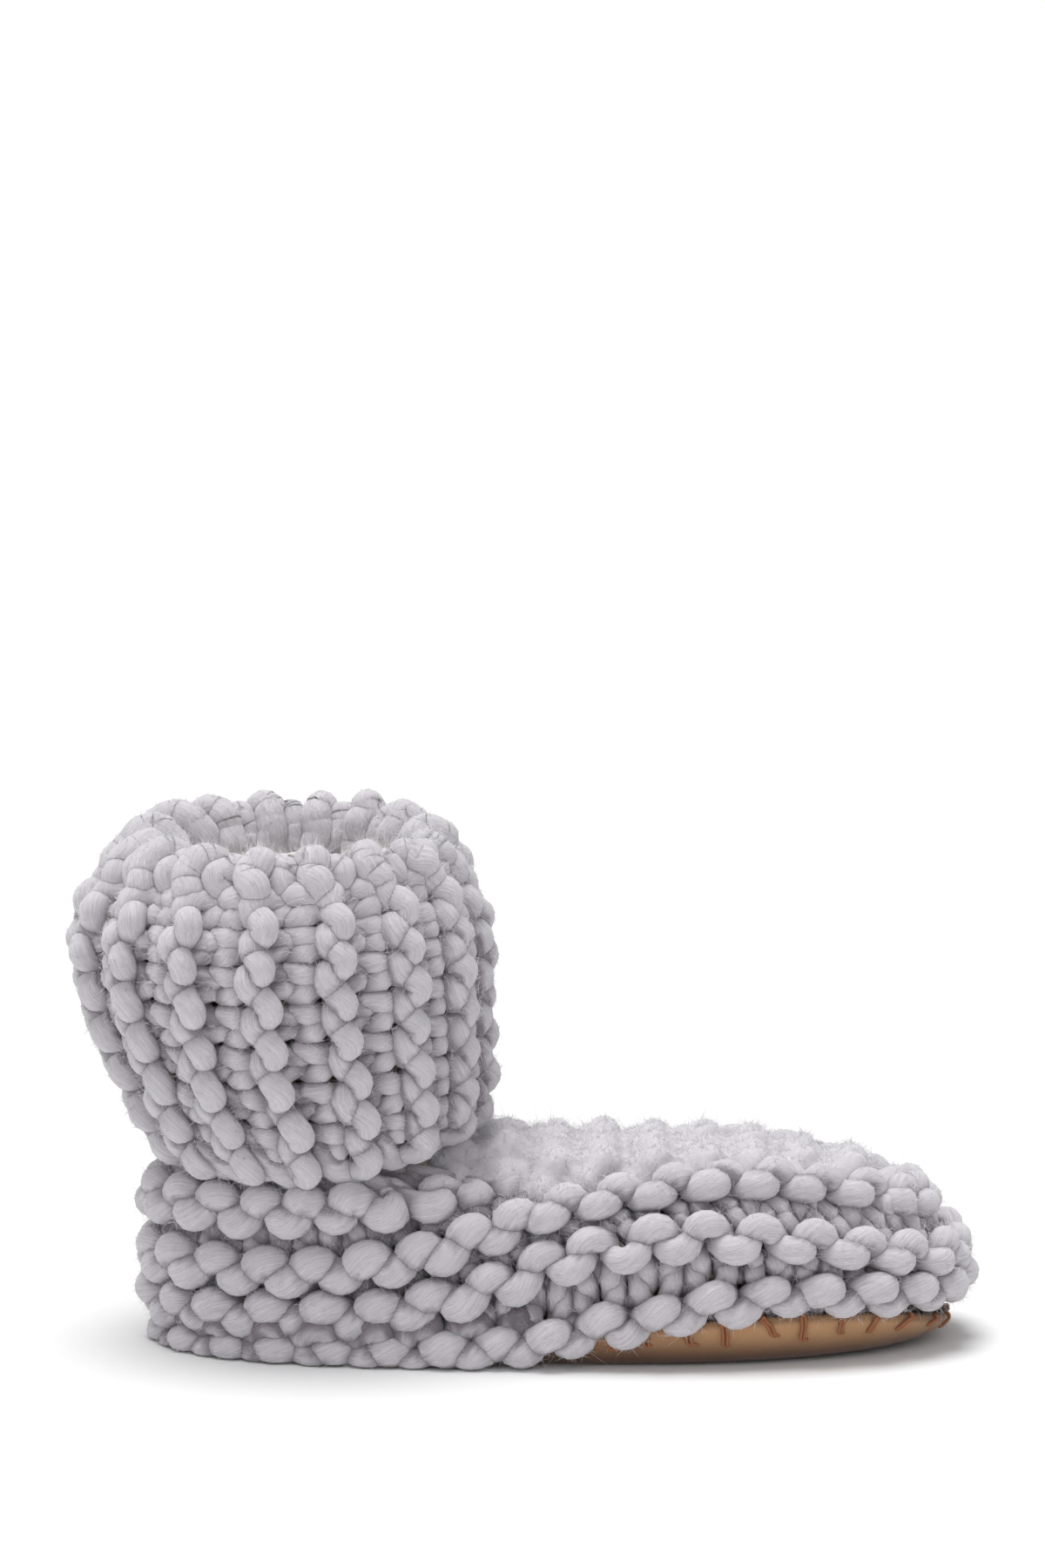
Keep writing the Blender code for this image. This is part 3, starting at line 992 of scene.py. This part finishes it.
def grained(name, colour, roughness, effect, source, spread, bump, sheen):
    """A material whose colour and relief follow one output of a node group."""
    made = plain_material(name, colour, roughness)
    tree = made.node_tree
    surface = tree.nodes["Principled BSDF"]
    surface.inputs["Sheen Weight"].default_value = sheen
    surface.inputs["Sheen Roughness"].default_value = 0.6
    soften(made, 0.6, 1.5)
    grain = tree.nodes.new("ShaderNodeGroup")
    grain.node_tree = effect
    ramp = tree.nodes.new("ShaderNodeValToRGB")
    ramp.name = "tones"
    for element, place, share in zip(ramp.color_ramp.elements, (0.32, 0.68), spread):
        element.position = place
        element.color = (*(channel * share for channel in colour), 1)
    relief = tree.nodes.new("ShaderNodeBump")
    relief.inputs["Strength"].default_value = bump[0]
    relief.inputs["Distance"].default_value = bump[1] * MM
    tree.links.new(grain.outputs[source], ramp.inputs["Fac"])
    tree.links.new(grain.outputs[source], relief.inputs["Height"])
    tree.links.new(ramp.outputs["Color"], surface.inputs["Base Color"])
    tree.links.new(relief.outputs["Normal"], surface.inputs["Normal"])
    return made


def shaded(made, attribute, tint):
    """Paints a shade on the material: the tint where a vertex attribute is 0, and none where it is 1."""
    tree = made.node_tree
    surface = tree.nodes["Principled BSDF"]
    where = tree.nodes.new("ShaderNodeAttribute")
    where.attribute_name = attribute
    span = tree.nodes.new("ShaderNodeMapRange")
    span.interpolation_type = "SMOOTHSTEP"
    dark = tree.nodes.new("ShaderNodeMix")
    dark.data_type = "RGBA"
    dark.blend_type = "MULTIPLY"
    dark.inputs["B"].default_value = (*tint, 1)
    turn = tree.nodes.new("ShaderNodeMath")
    turn.operation = "SUBTRACT"
    turn.inputs[0].default_value = 1.0
    tree.links.new(where.outputs["Fac"], span.inputs["Value"])
    tree.links.new(span.outputs["Result"], turn.inputs[1])
    tree.links.new(turn.outputs["Value"], dark.inputs["Factor"])
    tree.links.new(tree.nodes["tones"].outputs["Color"], dark.inputs["A"])
    tree.links.new(dark.outputs["Result"], surface.inputs["Base Color"])
    return made


# ---------------------------------------------------------------- pieces


def piece(name, mesh, material, replaced=()):
    """The finished object of a mesh, riding on the shoe."""
    made = bpy.data.objects.new(name, mesh)
    bpy.context.scene.collection.objects.link(made)
    mesh.materials.append(material)
    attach(made, BODY)
    if replaced:
        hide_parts(*replaced)
    return made


class SLIPPER_OT_knit(bpy.types.Operator):
    """Knits the foot, the instep's panel and the cuff, with their loose fibres."""

    bl_idname = "slipper.knit"
    bl_label = "Knit the upper"

    def execute(self, context):
        rng = np.random.default_rng(29)
        yarns = knit_yarns(context.scene.slipper_knit)
        colour = context.scene.slipper_colours.wool
        wool = grained("wool", colour, 0.9, fibres(), "Streak", (0.74, 1.16), (0.8, 0.35), sheen=0.2)
        shaded(wool, "open", CREASE_TINT)
        felted = grained("felted wool", colour, 0.95, pile(), "Felt", (0.88, 0.98), (0.3, 0.4), sheen=0.2)
        shaded(felted, "open", CREASE_TINT)
        loose = plain_material("loose fibres", [min(channel * 1.25, 1) for channel in colour], 0.8)
        soften(loose, 1.0, 0.5)
        for name, replaced, short, long, rounds, plain in (
            ("knit_foot", ("upper",), 40000, 3000, 2, 0.0),
            ("knit_instep", ("upper",), 16000, 8000, 1, 0.7),
            ("knit_cuff", ("cuff",), 40000, 3000, 2, 0.0),
        ):
            chosen = [y for y in yarns if y.piece == name]
            mesh, ring, angle = yarn_mesh(name, chosen)
            mesh.vertices.foreach_set("co", rest_on_leather(read_vertices(mesh)).ravel())
            mark(mesh, ring, angle, chosen, plain)
            smooth(mesh, rounds)
            made = piece(name, mesh, felted if name == "knit_instep" else wool, replaced)
            if name == "knit_instep":
                felt(made)
            fuzz = hairs(name + "_hair", chosen, short, long, rng)
            smooth(fuzz, 0)
            piece(name + "_hair", fuzz, loose)
        return {"FINISHED"}


class SLIPPER_OT_sole(bpy.types.Operator):
    """Makes the leather sole and its whip stitches."""

    bl_idname = "slipper.sole"
    bl_label = "Make the sole"

    def execute(self, context):
        colours = context.scene.slipper_colours
        rng = np.random.default_rng(5)
        places, round_rim = rim_places(12 * MM, 34.4 * MM)
        angle = np.arange(360) * 2 * np.pi / 360
        under, top = leather_faces(angle)
        under, top = threaded(under, 17), threaded(top, 17)
        apart = np.abs((angle[:, None] - places[None] + np.pi) % (2 * np.pi) - np.pi).min(axis=1)
        pucker = np.exp(-((apart * round_rim / (2 * np.pi) / (2.2 * MM)) ** 2))
        share = np.clip((np.arange(17) - 9) / 7, 0, 1)
        pull = pucker[None, :, None] * share[:, None, None] * 0.55 * MM
        inward = -outward(under)
        under, top = under + inward * pull, top + inward * pull
        steps = (0, 0.3, 0.6, 0.85)
        rings = [*towards_middle(under[0], steps), *under, *top[::-1], *towards_middle(top[0], steps)[::-1]]
        mesh = skin("leather_sole", rings)
        height = read_vertices(mesh)[:, 2]
        rim = np.zeros((len(rings), len(angle)))
        rim[len(steps) + 15:len(steps) + 18] = 1
        # A painted shade up the curved side, in place of the deep shadow there. The flat bottom has none. The
        # cut edge at the rim is darker, in its own colour.
        side = (0.03 + 0.97 * np.clip((height - 1.5 * MM) / (11 * MM), 0, 1)) * (1 - 0.5 * rim.ravel())
        shade_and_edge = np.maximum(side, np.clip(1 - height / (0.6 * MM), 0, 1))
        give(mesh, "shade_and_edge", shade_and_edge)
        smooth(mesh, 0)
        even = read_vertices(mesh)
        noisy(mesh, 9 * MM, 0.25 * MM, 3.0)
        uneven = read_vertices(mesh)
        uneven[:, 2] = np.where(even[:, 2] < 2.5 * MM, even[:, 2], uneven[:, 2])
        mesh.vertices.foreach_set("co", uneven.ravel())
        nap = bpy.data.node_groups["pile"]
        spread, bump = (0.86, 1.10), (0.35, 0.25)
        leather = grained("leather", colours.leather, 0.72, nap, "Nap", spread, bump, sheen=0.15)
        shaded(leather, "shade_and_edge", SOLE_TINT)
        piece("leather_sole", mesh, leather, ("sole",))

        sheet = leather_sheet()
        curve = new_curve("whip_stitches")
        curve.bevel_depth = 0.52 * MM
        curve.bevel_resolution = 1
        for place in places:
            for path in whip_stitch(sheet, np.degrees(place), round_rim / 360, rng):
                add_spline(curve, path)
        mesh = from_curve("whip_stitches", curve)
        smooth(mesh, 0)
        thread = plain_material("thread", colours.thread, 0.75)
        piece("whip_stitches", mesh, thread)
        return {"FINISHED"}


class SLIPPER_OT_lining(bpy.types.Operator):
    """Makes the fleece lining and the plush insole."""

    bl_idname = "slipper.lining"
    bl_label = "Make the lining and the insole"

    def execute(self, context):
        colour = context.scene.slipper_colours.fleece
        clumps = bpy.data.node_groups["pile"]
        fleece = grained("fleece", colour, 0.95, clumps, "Clump", (0.80, 1.05), (0.8, 2.0), sheen=0.3)
        mesh = skin("lining", lining_rings()[::-1])
        smooth(mesh, 1)
        noisy(mesh, 5 * MM, 1.4 * MM, 7.0)
        made = piece("lining", mesh, fleece)
        wall = made.modifiers.new("wall", "SOLIDIFY")
        wall.thickness = 2.2 * MM
        wall.offset = 0

        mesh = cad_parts["insole"].data.copy()
        mesh.name = "plush_insole"
        mesh.materials.clear()
        smooth(mesh, 0)
        made = piece("plush_insole", mesh, fleece, ("insole",))
        apply_modifier(made, "REMESH", mode="VOXEL", voxel_size=2.4 * MM)
        smooth(made.data, 3)
        noisy(made.data, 6 * MM, 0.5 * MM, 11.0)
        return {"FINISHED"}


def apply_modifier(made, kind, **settings):
    """Gives the object the mesh that a modifier makes."""
    step = made.modifiers.new("step", kind)
    for name, value in settings.items():
        setattr(step, name, value)
    graph = bpy.context.evaluated_depsgraph_get()
    mesh = bpy.data.meshes.new_from_object(made.evaluated_get(graph))
    made.modifiers.clear()
    old, made.data = made.data, mesh
    bpy.data.meshes.remove(old)


class SLIPPER_OT_stage(bpy.types.Operator):
    """Sets the floor, the lights and the camera."""

    bl_idname = "slipper.stage"
    bl_label = "Set the stage"

    def execute(self, context):
        scene = context.scene
        form = bmesh.new()
        bmesh.ops.create_grid(form, x_segments=1, y_segments=1, size=FLOOR)
        mesh = bpy.data.meshes.new("floor")
        form.to_mesh(mesh)
        form.free()
        mesh.materials.append(plain_material("floor", (0.84, 0.84, 0.84), 0.9))
        floor = bpy.data.objects.new("floor", mesh)
        scene.collection.objects.link(floor)

        world = bpy.data.worlds.new("studio")
        world.use_nodes = True
        world.node_tree.nodes["Background"].inputs["Color"].default_value = (1, 1, 1, 1)
        world.node_tree.nodes["Background"].inputs["Strength"].default_value = 0.49
        scene.world = world
        for name, towards, power, wide in (
            ("overhead", (0.1, -0.06, -1.0), 2.5, 34),
            ("front", (0.15, 1.0, -0.5), 0.5, 60),
        ):
            lamp = bpy.data.lights.new(name, "SUN")
            lamp.energy = power
            lamp.angle = math.radians(wide)
            stand = bpy.data.objects.new(name, lamp)
            scene.collection.objects.link(stand)
            stand.rotation_euler = Vector(towards).to_track_quat("-Z", "Y").to_euler()

        lift = math.radians(12.0)  # how far the camera looks down
        away = 2.2  # metres from the shoe
        tall = 0.4601  # metres that the view covers from top to bottom, at the shoe
        near = Vector((-0.6 * MM, -50 * MM, 0))  # on the floor, at the shoe's near side
        rise = 85.1  # how far up the view from there the point seen lies, in millimetres
        below = 88 * MM  # how far below the view's middle it lies
        camera = bpy.data.cameras.new("camera")
        camera.sensor_width = 36
        camera.lens = 36 * away / tall
        camera.clip_end = 50
        stand = bpy.data.objects.new("camera", camera)
        scene.collection.objects.link(stand)
        seen = near + Vector((0, math.sin(lift), math.cos(lift))) * rise * MM
        back = Vector((0, -math.cos(lift), math.sin(lift)))
        stand.location = seen + back * away
        tip = lift - math.atan(below / away)
        stand.rotation_euler = (math.pi / 2 - tip, 0, 0)
        scene.camera = stand
        scene.view_settings.view_transform = "Standard"
        return {"FINISHED"}


class SLIPPER_PT_panel(bpy.types.Panel):
    """Sizes, colours and the steps that finish the slipper."""

    bl_idname = "SLIPPER_PT_panel"
    bl_label = "Knitted boot slipper"
    bl_space_type = "VIEW_3D"
    bl_region_type = "UI"
    bl_category = "Slipper"

    def draw(self, context):
        for settings in (context.scene.slipper_knit, context.scene.slipper_colours):
            for name in settings.__annotations__:
                self.layout.prop(settings, name)
        for step in STEPS_IN_ORDER:
            self.layout.operator(step.bl_idname)


STEPS_IN_ORDER = (SLIPPER_OT_knit, SLIPPER_OT_sole, SLIPPER_OT_lining, SLIPPER_OT_stage)
CLASSES = (SlipperKnit, SlipperColours, *STEPS_IN_ORDER, SLIPPER_PT_panel)


def register():
    for made in CLASSES:
        bpy.utils.register_class(made)
    bpy.types.Scene.slipper_knit = PointerProperty(type=SlipperKnit)
    bpy.types.Scene.slipper_colours = PointerProperty(type=SlipperColours)


def unregister():
    del bpy.types.Scene.slipper_colours
    del bpy.types.Scene.slipper_knit
    for made in reversed(CLASSES):
        bpy.utils.unregister_class(made)


def main():
    register()
    bpy.ops.slipper.knit()
    bpy.ops.slipper.sole()
    bpy.ops.slipper.lining()
    bpy.ops.slipper.stage()


if __name__ == "__main__":
    main()
